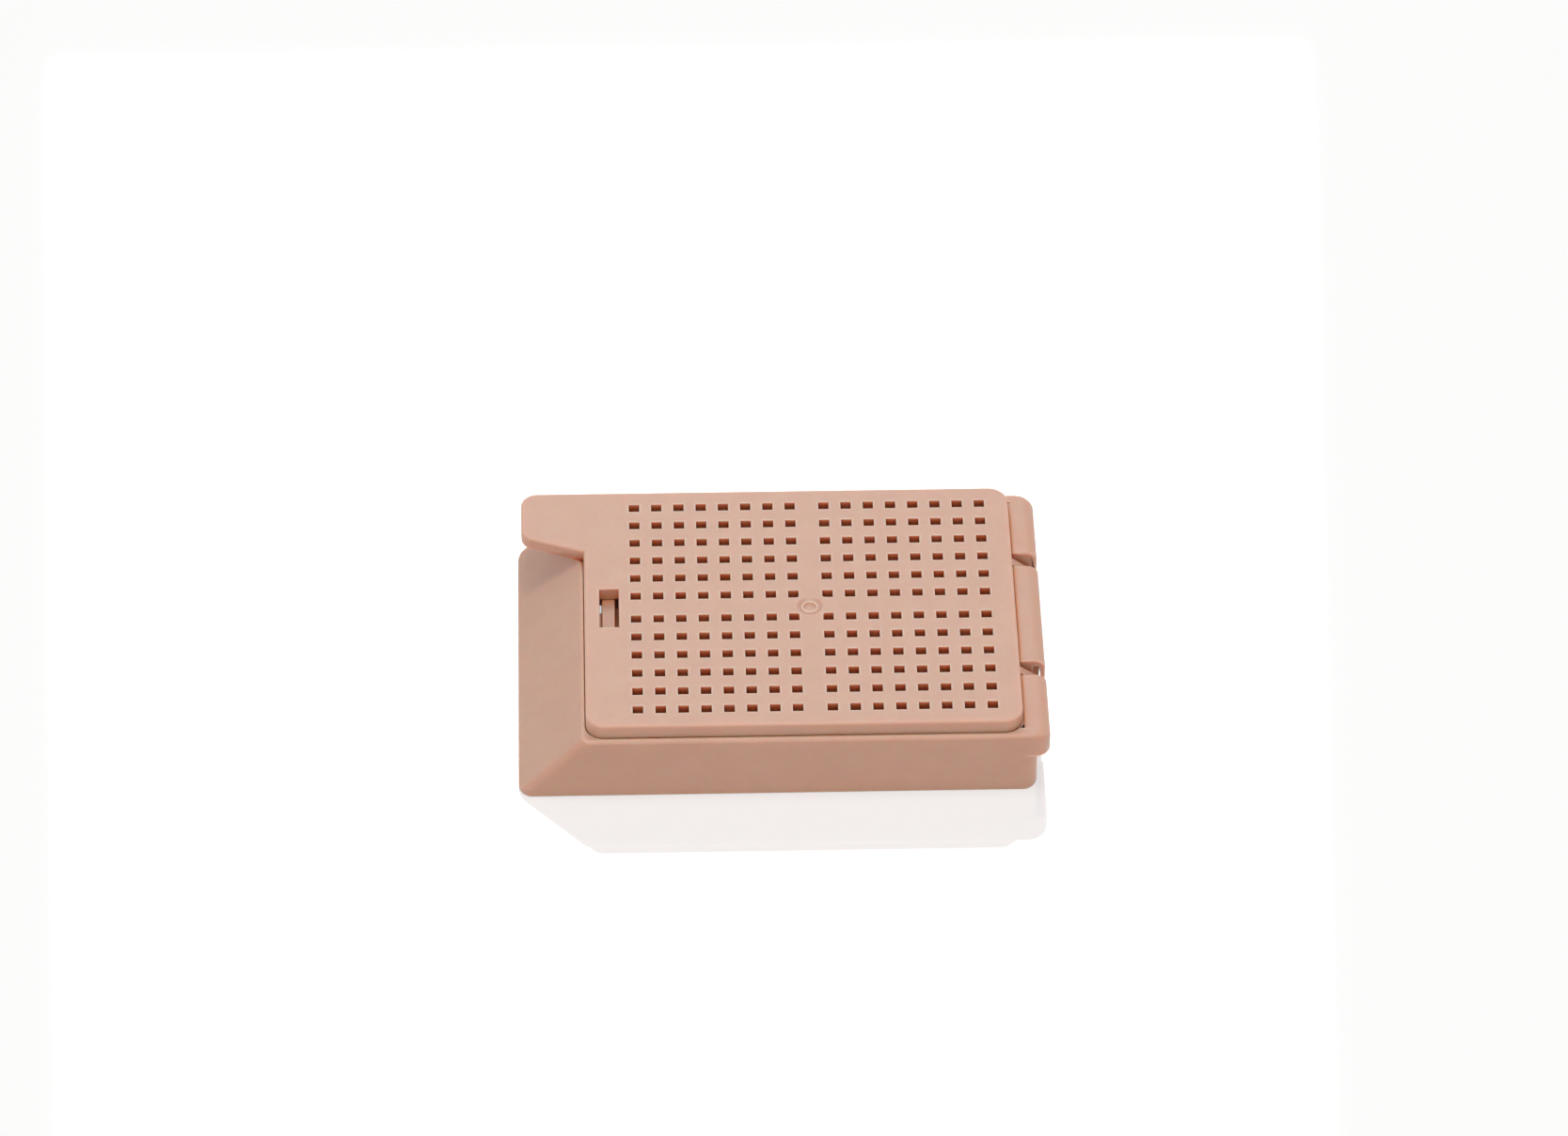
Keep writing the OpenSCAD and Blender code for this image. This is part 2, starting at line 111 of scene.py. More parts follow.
# Lid
LID_X1, LID_Y, LID_TOP = LID_HIGH.x, LID_HIGH.y, LID_HIGH.z
LID_UNDER = LID_TOP - 1.1
LID_GAP = 0.1
SEAM = 0.04  # gap drawn between the lid and the rim
SEAT_X = SLOPE_X + RIM_END_T
LID_X0 = SEAT_X + LID_GAP
LID_EDGE_R = 0.2
LID_CORNER_R = 1.6
LID_FREE_CORNER_R = 1.4
BEAD_W = 0.75
BEAD_EDGE_R = 0.05
TAB_X = LID_LOW.x
TAB_FOOT_Y = LID_Y - 6.9
TAB_SKEW = math.radians(20)
TAB_CORNER_R = 1.3

# Perforations
HOLE = 0.8
HOLE_EDGE_R = 0.06
PITCH_X, PITCH_Y = 1.76, 2.07
BAND_X, BAND_Y = 2.67, 2.64  # spacing across the plain bands in the middle
HALF_COLUMNS, HALF_ROWS = 8, 6
GRID_MARGIN = 1.91  # from the lid's edge at the hinge end to its first holes
GRID_X = LID_X1 - GRID_MARGIN - HOLE / 2 - BAND_X / 2 - (HALF_COLUMNS - 1) * PITCH_X
COLUMNS = [side * (BAND_X / 2 + PITCH_X * i) for side in (-1, 1) for i in range(HALF_COLUMNS)]
ROWS = [side * (BAND_Y / 2 + PITCH_Y * i) for side in (-1, 1) for i in range(HALF_ROWS)]
GATE_DISC_R = 1.4
GATE = Vector((GRID_X - 0.1, -0.12))  # the gate mark, a little off the middle of its disc
GATE_PROFILE = [  # radius and depth, from the floor of its ring's pit out to the edge of its dish
    (0.34, 0.24), (0.44, 0.23), (0.49, 0.19), (0.53, 0.06), (0.56, 0.03), (0.59, 0.03),
    (0.62, 0.07), (0.66, 0.12), (0.72, 0.14), (0.80, 0.12), (0.90, 0.07), (1.0, 0.02), (1.08, 0.0),
]

# Latch: the lid's window, the tray's catch bar under it, and the lid's tongue beside the bar
WINDOW_X0 = LID_X0 + 1.2
WINDOW_X1 = WINDOW_X0 + 1.49
WINDOW_Y = 2.2
WINDOW_EDGE_R = 0.12
CATCH_X0 = WINDOW_X0 + 0.15
CATCH_X1 = CATCH_X0 + 1.06
CATCH_Y = CHAMBER_Y - BEAD_W
CATCH_Z = TRAY_HIGH.z
RECESS_Z = CATCH_Z - 0.8
RECESS_X = CATCH_X1 - 0.45
TONGUE_X1 = WINDOW_X1 + 0.7
TONGUE_Y = WINDOW_Y - 0.1
TONGUE_Z = LID_LOW.z
RECESS_LOW = TONGUE_Z - 0.1
BARB_X = CATCH_X1 - 0.25
BARB_Z = RECESS_Z - 0.05
BARB_T = 0.2
CATCH_EDGE_R = 0.12
RELIEF_X = CATCH_X0 - 0.2  # slots through the deck beside the bar
RELIEF_Y = (0.9, 2.9)

# Hinge straps
STRAP_Y = (STRAP_LOW.y + STRAP_HIGH.y) / 2
STRAP_W = STRAP_HIGH.y - STRAP_LOW.y
STRAP_T = 0.3
STRAP_LAP = LID_X1 - STRAP_LOW.x
STRAP_EDGE_R = 0.07
BEND_R = 0.35
LOOP_R = 0.42
SLOT_Y = 6.27
SLOT_W = 1.45
HINGE = Vector((STRAP_HIGH.x - LOOP_R, STRAP_LOW.z + LOOP_R))  # X and Z of the lid's axis
BEND = Vector((LID_X1, SEAT_Z - BEND_R))
STRAP_ROOT_Z = STRAP_LOW.z + STRAP_T
FLAT_STEPS, BEND_STEPS, STRETCH_STEPS, LOOP_STEPS = 2, 6, 10, 30

CLEAR = 1.0  # how far a cut runs past a surface
LAP, DEEP_LAP = 0.3, 0.5  # how far a solid runs into the one that it is added to
EDGE_R = 0.1  # rounding of an edge that has no radius of its own
ARC_STEP = math.radians(7.5)
SIDE_STEPS = 10  # outlines that each rounding of the tray's long walls is drawn with
EDGE_STEPS = 12  # points along a curved edge of the flange
SHARP_ANGLE = math.radians(40)


# ---- Outlines ----


def rounded(corners):
    """Closed outline through corners (u, v, radius), each rounded by its radius."""
    out = []
    for i, (u, v, r) in enumerate(corners):
        here = Vector((u, v))
        if r <= 0:
            out.append(here)
            continue
        back = (Vector(corners[i - 1][:2]) - here).normalized()
        ahead = (Vector(corners[(i + 1) % len(corners)][:2]) - here).normalized()
        half = back.angle(ahead) / 2
        centre = here + (back + ahead).normalized() * r / math.sin(half)
        start = here + back * r / math.tan(half) - centre
        end = here + ahead * r / math.tan(half) - centre
        turn = math.atan2(start.x * end.y - start.y * end.x, start.dot(end))
        steps = max(3, round(abs(turn) / ARC_STEP))
        out += [centre + Matrix.Rotation(turn * k / steps, 2) @ start for k in range(steps + 1)]
    return out


def rect(low_u, low_v, high_u, high_v, r=0):
    """Rectangle outline, rounded by r."""
    corners = [(low_u, low_v), (high_u, low_v), (high_u, high_v), (low_u, high_v)]
    return rounded([(u, v, r) for u, v in corners])


def circle(centre, r, steps=48):
    """Circle outline."""
    turns = [math.tau * k / steps for k in range(steps)]
    return [centre + Vector((math.cos(t), math.sin(t))) * r for t in turns]


def outward(outline):
    """For each point of an anticlockwise outline, the way it moves when the outline grows."""
    ways = []
    for i, here in enumerate(outline):
        before = (here - outline[i - 1]).normalized()
        after = (outline[(i + 1) % len(outline)] - here).normalized()
        n1, n2 = Vector((before.y, -before.x)), Vector((after.y, -after.x))
        ways.append((n1 + n2) / (1 + n1.dot(n2)))
    return ways


def grown(outline, distance):
    """The anticlockwise outline with every side moved out by a distance."""
    return [p + way * distance for p, way in zip(outline, outward(outline))]


# ---- Solids ----

PLACE = {
    "x": lambda u, v, h: (h, u, v),
    "y": lambda u, v, h: (u, h, v),
    "z": lambda u, v, h: (u, v, h),
}


def ring(outline, height):
    """An outline's points at one height."""
    return [(p.x, p.y, height) for p in outline]


def edge_rings(outline, height, radii, face=1, grow=-1, steps=4):
    """Rings that round the edge between an outline's side and its end face at a height.

    radii is one radius or one for each point. face is 1 for a top face and -1 for a bottom face.
    grow is -1 for the edge of a solid and 1 for the edge of an opening.
    """
    if not isinstance(radii, list):
        radii = [radii] * len(outline)
    rings = []
    for k in range(steps + 1):
        t = math.pi / 2 * k / steps
        rings.append([
            (*(p + way * (grow * r * (1 - math.cos(t)))), height - face * r * (1 - math.sin(t)))
            for p, way, r in zip(outline, outward(outline), radii)
        ])
    return rings[::face]


def loft(stacks, axis="z", name="cutter"):
    """Closed solids, one from each stack of rings, with the heights along an axis."""
    bm = bmesh.new()
    for stack in stacks:
        rings = [[bm.verts.new(PLACE[axis](*p)) for p in points] for points in stack]
        bm.faces.new(rings[0])
        bm.faces.new(rings[-1])
        for low, high in zip(rings, rings[1:]):
            for i in range(len(low)):
                bm.faces.new((low[i - 1], low[i], high[i], high[i - 1]))
    bmesh.ops.recalc_face_normals(bm, faces=bm.faces)
    mesh = bpy.data.meshes.new(name)
    bm.to_mesh(mesh)
    bm.free()
    obj = bpy.data.objects.new(name, mesh)
    bpy.context.scene.collection.objects.link(obj)
    return obj


def prism(outline, low, high, axis="z"):
    """Solid of one outline between two heights along an axis."""
    return loft([[ring(outline, low), ring(outline, high)]], axis)


def opening(outline, low, face, radii):
    """Cutter from a height up through a top face, with the edge at that face rounded."""
    edge = edge_rings(outline, face, radii, grow=1)
    above = [(u, v, face + CLEAR) for u, v, _ in edge[-1]]
    return loft([[ring(outline, low), *edge, above]])


def spool(outline, low, high, r):
    """Stack for a through hole whose edges are rounded at both faces."""
    top = edge_rings(outline, high, r, grow=1, steps=3)
    bottom = edge_rings(outline, low, r, face=-1, grow=1, steps=3)
    below = [(u, v, low - CLEAR) for u, v, _ in bottom[0]]
    above = [(u, v, high + CLEAR) for u, v, _ in top[-1]]
    return [below, *bottom, *top, above]


def bake(obj):
    """Applies the object's modifiers to its mesh."""
    graph = bpy.context.evaluated_depsgraph_get()
    mesh = bpy.data.meshes.new_from_object(obj.evaluated_get(graph))
    obj.modifiers.clear()
    old, obj.data = obj.data, mesh
    bpy.data.meshes.remove(old)


def combine(obj, tool, operation):
    """Cuts the tool from the object, or adds it."""
    modifier = obj.modifiers.new("combine", "BOOLEAN")
    modifier.object, modifier.operation, modifier.solver = tool, operation, "MANIFOLD"
    bake(obj)
    bpy.data.meshes.remove(tool.data)


def cut(obj, tool):
    combine(obj, tool, "DIFFERENCE")


def add(obj, tool):
    combine(obj, tool, "UNION")


def finish_mesh(obj, name, material):
    """Smooth shading that keeps flat faces flat, then metres, name, slot and material."""
    obj.name = name
    obj.data.polygons.foreach_set("use_smooth", [True] * len(obj.data.polygons))
    obj.data.set_sharp_from_angle(angle=SHARP_ANGLE)
    normals = obj.modifiers.new("normals", "WEIGHTED_NORMAL")
    normals.keep_sharp = True
    normals.weight = 100
    bake(obj)
    obj.data.name = name
    obj.data.transform(Matrix.Scale(MM, 4))
    obj.data.materials.clear()
    obj.data.materials.append(material)
    return obj


def hole_stacks(low, high):
    """A spool for each perforation; the four around the gate lose a corner to its plain disc."""
    stacks = []
    half = HOLE / 2
    for x in COLUMNS:
        for y in ROWS:
            outline = rect(x - half, y - half, x + half, y + half)
            near = min(outline, key=lambda p: p.length)
            if near.length < GATE_DISC_R:
                i = outline.index(near)
                across = Vector((math.sqrt(GATE_DISC_R**2 - near.y**2), abs(near.y)))
                along = Vector((abs(near.x), math.sqrt(GATE_DISC_R**2 - near.x**2)))
                middle = (across + along).normalized() * GATE_DISC_R
                arc = [
                    Vector((math.copysign(p.x, x), math.copysign(p.y, y)))
                    for p in (across, middle, along)
                ]
                if x * y < 0:
                    arc.reverse()
                if (outline[i - 1] - arc[0]).length > (outline[i - 1] - arc[-1]).length:
                    arc.reverse()
                outline[i : i + 1] = arc
            outline = [p + Vector((GRID_X, 0)) for p in outline]
            stacks.append(spool(outline, low, high, HOLE_EDGE_R))
    return stacks


# ---- Tray ----


def drawn_in(depth, r):
    """How far a side rounded by r lies back at a depth inside the tray's long wall."""
    return r - math.sqrt(r * r - (r - depth) ** 2) if depth < r else 0.0


def side_depths():
    """Depths inside the long wall at which the tray's outline is drawn."""
    turns = [math.pi / 2 * k / SIDE_STEPS for k in range(SIDE_STEPS + 1)]
    radii = (EDGE_R, RIM_EDGE_R, SLOPE_EDGE_R, FLANGE_CORNER_R, CORNER_R)
    return sorted({round(r * (1 - math.sin(t)), 5) for r in radii for t in turns})


def blank_view(depth):
    """Outline from the side of the tray's walls, deck and floor, without the hinge rail."""
    low = drawn_in(depth, EDGE_R)
    toe = TOE_X + drawn_in(depth, CORNER_R)
    end = WALL_X - drawn_in(depth, CORNER_R)
    top = RIM_Z - drawn_in(depth, RIM_EDGE_R)
    rise = math.tan(SLOPE_ANGLE)
    drop = drawn_in(depth, SLOPE_EDGE_R) / math.cos(SLOPE_ANGLE)
    return rounded([
        (toe, low, EDGE_R), (end, low, EDGE_R), (end, LIP_Z, 0), (SEAT_X1, LIP_Z, 0),
        (SEAT_X1, top, 0), (TOE_X + (top - SLOPE_TOE + drop) / rise, top, CREST_R),
        (toe, SLOPE_TOE + (toe - TOE_X) * rise - drop, TOE_EDGE_R),
    ])


def edge_curve(x, z, run, drop):
    """Quarter of an ellipse from a side at x, drop below z, to a top at z, run away from x."""
    turns = [math.pi / 2 * k / EDGE_STEPS for k in range(1, EDGE_STEPS + 1)]
    return [Vector((x + run * (1 - math.cos(t)), z - drop * (1 - math.sin(t)))) for t in turns]


def rail_view(depth, hollow=False):
    """Outline from the side of the hinge rail: the top of the end wall and the flange."""
    out_x = FLANGE_X - drawn_in(depth, FLANGE_CORNER_R)
    top = RIM_Z - drawn_in(depth, RIM_EDGE_R)
    run = min(FLANGE_EDGE_RUN, out_x - SEAT_X1 - FLANGE_TOP_MIN)
    corners = [(SEAT_X1, LIP_Z, 0)]
    if hollow:
        roof, back = RIM_Z - FLANGE_T, FLANGE_X - LIP_ROOT_T
        corners += [
            (WALL_X, LIP_Z, 0), (WALL_X, roof, 0), (back, roof, ROOF_R),
            (FLANGE_X - LIP_T, LIP_Z, LIP_R),
        ]
    outline = rounded([*corners, (out_x, LIP_Z, LIP_R), (out_x, top - FLANGE_EDGE_DROP, 0)])
    return [*outline, *edge_curve(out_x, top, -run, FLANGE_EDGE_DROP), Vector((SEAT_X1, top))]


def rail_lengths():
    """Stacks of the rail's three lengths, with rounded ends at the strap slots."""
    slot_in, slot_out = SLOT_Y - SLOT_W / 2, SLOT_Y + SLOT_W / 2
    plain = rail_view(SIDE_Y)
    wall_side = [rail_view(depth) for depth in side_depths()]
    front = [
        *[ring(line, depth - SIDE_Y) for depth, line in zip(side_depths(), wall_side)],
        *edge_rings(plain, -slot_out, SLOT_EDGE_R),
    ]
    rear = [[(u, v, -h) for u, v, h in points] for points in front[::-1]]
    hooked = rail_view(SIDE_Y, hollow=True)
    roof, outer = RIM_Z - FLANGE_T, FLANGE_X - EDGE_R / 2
    radii = [HOOK_EDGE_R if p.y > roof or p.x > outer else HOOK_INNER_R for p in hooked]
    middle = [
        *edge_rings(hooked, -slot_in, radii, face=-1), *edge_rings(hooked, slot_in, radii),
    ]
    web_y = slot_in - WEB_INSET
    web = rect(SEAT_X1, LIP_Z, WEB_X1, RIM_Z - FLANGE_T / 2)
    webs = [ring(web, -web_y), ring(web, web_y)]
    return [front, middle, webs, rear]


def inner_edge():
    """Cutter for the shallow curve of the rail's top edge along the lid."""
    start_x = SEAT_X1 - EDGE_R
    above = [(SEAT_X1 + FLANGE_INNER_RUN, RIM_Z + CLEAR), (start_x, RIM_Z + CLEAR)]
    outline = [Vector(p) for p in (*above, (start_x, RIM_Z - FLANGE_INNER_DROP))]
    outline += edge_curve(SEAT_X1, RIM_Z, FLANGE_INNER_RUN, FLANGE_INNER_DROP)
    return prism(outline, -PIT_Y, PIT_Y, "y")


def rail_hollow():
    """Cutter for the hollows under the flange, between the webs."""
    roof, r = RIM_Z - FLANGE_T, LIP_R
    outline = rounded([
        (WALL_X, roof, 0), (WALL_X, LIP_Z - CLEAR, 0), (FLANGE_X - LIP_T + r, LIP_Z - CLEAR, 0),
        (FLANGE_X - LIP_T + r, LIP_Z, 0), (FLANGE_X - LIP_T, LIP_Z + r, 0),
        (FLANGE_X - LIP_ROOT_T, roof, ROOF_R),
    ])
    slot_in, slot_out = SLOT_Y - SLOT_W / 2, SLOT_Y + SLOT_W / 2
    reach = slot_in - WEB_INSET - WEB_T
    spans = [
        (WEB_T - SIDE_Y, -slot_out - WEB_T), (-reach, reach), (slot_out + WEB_T, SIDE_Y - WEB_T)
    ]
    return loft([[ring(outline, low), ring(outline, high)] for low, high in spans], "y")


def make_tray():
    """The tray: blank, hollows, seat and chamber, then its rail, pits, latch and holes."""
    depths = side_depths()
    lines = [blank_view(depth) for depth in depths]
    front = [ring(line, depth - SIDE_Y) for depth, line in zip(depths, lines)]
    rear = [[(u, v, -h) for u, v, h in points] for points in front[::-1]]
    part = loft([[*front, *rear]], "y", "tray")

    rise = math.tan(SLOPE_ANGLE)
    foot = TOE_X + SLOPE_T / math.sin(SLOPE_ANGLE) - SLOPE_TOE / rise
    hollow = [
        (foot - CLEAR / rise, -CLEAR), (CATCH_X0, -CLEAR), (CATCH_X0, DECK_Z),
        (foot + DECK_Z / rise, DECK_Z),
    ]
    cut(part, prism([Vector(p) for p in hollow], -CHAMBER_Y, CHAMBER_Y, "y"))
    foot_line = rect(foot, -CHAMBER_Y, CATCH_X0, CHAMBER_Y)
    foot_edge = edge_rings(foot_line, 0, EDGE_R, face=-1, grow=1)
    cut(part, loft([[[(u, v, -CLEAR) for u, v, _ in foot_edge[0]], *foot_edge]]))

    seat_x, seat_y = LID_X0 - SEAM, LID_Y + SEAM
    seat = rounded([
        (seat_x, -seat_y, LID_FREE_CORNER_R + SEAM), (SEAT_X1, -seat_y, LID_CORNER_R),
        (SEAT_X1, seat_y, LID_CORNER_R), (seat_x, seat_y, 0),
    ])
    cut(part, opening(seat, SEAT_Z, RIM_Z, RIM_INNER_R))
    cut(part, prism(rect(SEAT_X1 - LID_CORNER_R, -PIT_Y, SEAT_X1, PIT_Y), SEAT_Z, RIM_Z + CLEAR))
    chamber = rect(CATCH_X1, -CHAMBER_Y, CHAMBER_X, CHAMBER_Y, CHAMBER_R)
    floor_rings = edge_rings(chamber, FLOOR_T, CHAMBER_FLOOR_R, face=-1)
    mouth = edge_rings(chamber, SEAT_Z, RIM_INNER_R, grow=1)
    cut(part, loft([[*floor_rings, *mouth, [(u, v, RIM_Z + CLEAR) for u, v, _ in mouth[-1]]]]))

    sill_y = SLOT_Y + SLOT_W
    sill = rect(SEAT_X1 - LAP, -sill_y, WALL_X, sill_y)
    add(part, prism(sill, LIP_Z - DEEP_LAP, STRAP_ROOT_Z))
    for side in (-1, 1):
        low, high = side * SLOT_Y - SLOT_W / 2, side * SLOT_Y + SLOT_W / 2
        cut(part, prism(rect(SEAT_X1 - CLEAR, low, SEAT_X1, high), STRAP_ROOT_Z, RIM_Z))
    for stack in rail_lengths():
        add(part, loft([stack], "y"))
    cut(part, rail_hollow())
    cut(part, inner_edge())
    for side in (-1, 1):
        corner = Vector((SEAT_X1 - LID_CORNER_R, side * (seat_y - LID_CORNER_R)))
        disc = circle(corner, LID_CORNER_R)
        near, far = sorted((side * PIT_Y, side * (PIT_Y - PIT)))
        pit = prism(rect(SEAT_X1 - PIT, near, SEAT_X1, far), PIT_Z, RIM_Z + EDGE_R)
        cut(pit, prism(disc, PIT_Z - CLEAR, RIM_Z + CLEAR))
        cut(part, pit)

    bar = rect(CATCH_X0, -CATCH_Y, CATCH_X1, CATCH_Y)
    bar_rings = [ring(bar, DECK_Z + DEEP_LAP), *edge_rings(bar, CATCH_Z, CATCH_EDGE_R)]
    add(part, loft([bar_rings]))
    for side in (-1, 1):
        near, far = sorted(side * y for y in RELIEF_Y)
        cut(part, prism(rect(RELIEF_X, near, CATCH_X0, far), DECK_Z - CLEAR, RIM_Z + CLEAR))
    recess = rect(RECESS_X, -WINDOW_Y, CATCH_X1 + CLEAR, WINDOW_Y)
    cut(part, prism(recess, RECESS_LOW, RECESS_Z))
    cut(part, loft(hole_stacks(0, FLOOR_T)))
    return part


# ---- Lid ----


def lid_outline(tab):
    """Outline of the lid seen from above, with or without its finger tab."""
    corners = [
        (LID_X0, -LID_Y, LID_FREE_CORNER_R),
        (LID_X1, -LID_Y, LID_CORNER_R),
        (LID_X1, LID_Y, LID_CORNER_R),
    ]
    if tab:
        tip_y = TAB_FOOT_Y + (LID_X0 - TAB_X) * math.tan(TAB_SKEW)
        corners += [
            (TAB_X, LID_Y, TAB_CORNER_R), (TAB_X, tip_y, TAB_CORNER_R), (LID_X0, TAB_FOOT_Y, 0)
        ]
    else:
        corners.append((LID_X0, LID_Y, 0))
    return rounded(corners)


def gate_rings():
    """Rings of the cutter for the moulding gate's mark: a pit in a raised ring in a dish."""
    profile = [*GATE_PROFILE, (GATE_PROFILE[-1][0], -CLEAR)]
    return [ring(circle(GATE, r), LID_TOP - depth) for r, depth in profile]


def make_lid():
    """The lid: plate with its tab, bead and tongue, then its window, holes and gate mark."""
    outline = lid_outline(tab=True)
    tab_edge = [EDGE_R if p.x < LID_X0 - EDGE_R else 0.0 for p in outline]
    under = edge_rings(outline, LID_UNDER, tab_edge, face=-1, steps=3)
    part = loft([[*under, *edge_rings(outline, LID_TOP, LID_EDGE_R, steps=7)]], name="lid")
    bead_outline = lid_outline(tab=False)
    bead_rings = edge_rings(bead_outline, SEAT_Z, BEAD_EDGE_R, face=-1)
    bead = loft([[*bead_rings, ring(bead_outline, LID_UNDER + LAP)]])
    cut(bead, prism(grown(bead_outline, -BEAD_W), SEAT_Z - CLEAR, LID_UNDER + CLEAR))
    add(part, bead)
    tongue = [
        (TONGUE_X1, LID_UNDER + LAP), (WINDOW_X1, LID_UNDER + LAP), (WINDOW_X1, BARB_Z),
        (BARB_X, BARB_Z), (BARB_X, BARB_Z - BARB_T), (WINDOW_X1, TONGUE_Z), (TONGUE_X1, TONGUE_Z),
    ]
    add(part, prism([Vector(p) for p in tongue], -TONGUE_Y, TONGUE_Y, "y"))
    window = rect(WINDOW_X0, -WINDOW_Y, WINDOW_X1, WINDOW_Y)
    cut(part, opening(window, LID_UNDER - DEEP_LAP, LID_TOP, WINDOW_EDGE_R))
    cut(part, loft(hole_stacks(LID_UNDER, LID_TOP)))
    cut(part, loft([gate_rings()]))
    return part


# ---- Hinge straps ----


def polar(centre, r, angle):
    """X and Z of a point on a circle."""
    return centre + Vector((math.cos(angle), math.sin(angle))) * r


def strap_path():
    """Upper and lower edge, side by side, of the band from under the lid to the end wall."""
    way = HINGE - BEND
    leave = math.atan2(way.y, way.x) + math.acos((BEND_R - LOOP_R) / way.length)
    flat = [
        (LID_X1 - STRAP_LAP + STRAP_LAP * k / FLAT_STEPS, SEAT_Z) for k in range(FLAT_STEPS)
    ]
    pairs = [(Vector(p), Vector(p) - Vector((0, STRAP_T))) for p in flat]
    for centre, r, start, end, steps in (
        (BEND, BEND_R, math.pi / 2, leave, BEND_STEPS),
        (HINGE, LOOP_R, leave, -math.pi / 2, LOOP_STEPS),
    ):
        for k in range(steps + 1):
            angle = start + (end - start) * k / steps
            pairs.append((polar(centre, r, angle), polar(centre, r - STRAP_T, angle)))
    drop = HINGE - Vector((HINGE.x - WALL_X, 0))
    pairs.append((drop - Vector((0, LOOP_R)), drop - Vector((0, LOOP_R - STRAP_T))))
    # a few stations along the straight stretch, so that it bends smoothly as the lid opens
    loop_start = FLAT_STEPS + BEND_STEPS + 1
    before, after = pairs[loop_start - 1], pairs[loop_start]
    stretch = [
        tuple(a.lerp(b, k / STRETCH_STEPS) for a, b in zip(before, after))
        for k in range(1, STRETCH_STEPS)
    ]
    return pairs[:loop_start] + stretch + pairs[loop_start:]


def make_strap(y):
    """A thin band with rounded edges along the strap's path."""
    section = rect(-STRAP_W / 2, 0, STRAP_W / 2, STRAP_T, STRAP_EDGE_R)
    rings = []
    for upper, lower in strap_path():
        points = [lower.lerp(upper, p.y / STRAP_T) for p in section]
        rings.append([(q.x, y + p.x, q.y) for p, q in zip(section, points)])
    return loft([rings], name="strap")


# ---- Materials ----


def add_node(tree, kind, **settings):
    """A new shader node with its properties or inputs set."""
    node = tree.nodes.new(kind)
    for key, value in settings.items():
        if key in node.inputs:
            node.inputs[key].default_value = value
        else:
            setattr(node, key, value)
    return node


TRAY_TONES = (0.65, 0.395, 0.288), (0.61, 0.36, 0.26)  # pale and deep
LID_TONES = (0.66, 0.405, 0.298), (0.62, 0.37, 0.27)
# painted highlight colour for thin raised edges
PAINTED_HIGHLIGHT_TONE = (0.84, 0.66, 0.58)
# painted shade colours for holes and gaps: deep orange at the mouth, near black further in
MOUTH_SHADE_TONE, DEEP_SHADE_TONE = (0.82, 0.31, 0.125), (0.27, 0.055, 0.018)
MOTTLE, SPECK, SHEEN, WAVE, GRAIN = 420, 5200, 2600, 260, 7000  # noise scales, per metre
EDGE_REACH, NOOK_REACH = 0.0002, 0.0012  # how far off walls count, in metres
SCATTER, STRAP_SCATTER = 0.001, 0.0003
MIX_A, MIX_B, MIX_RESULT = 6, 7, 2  # the colour sockets of a Mix node


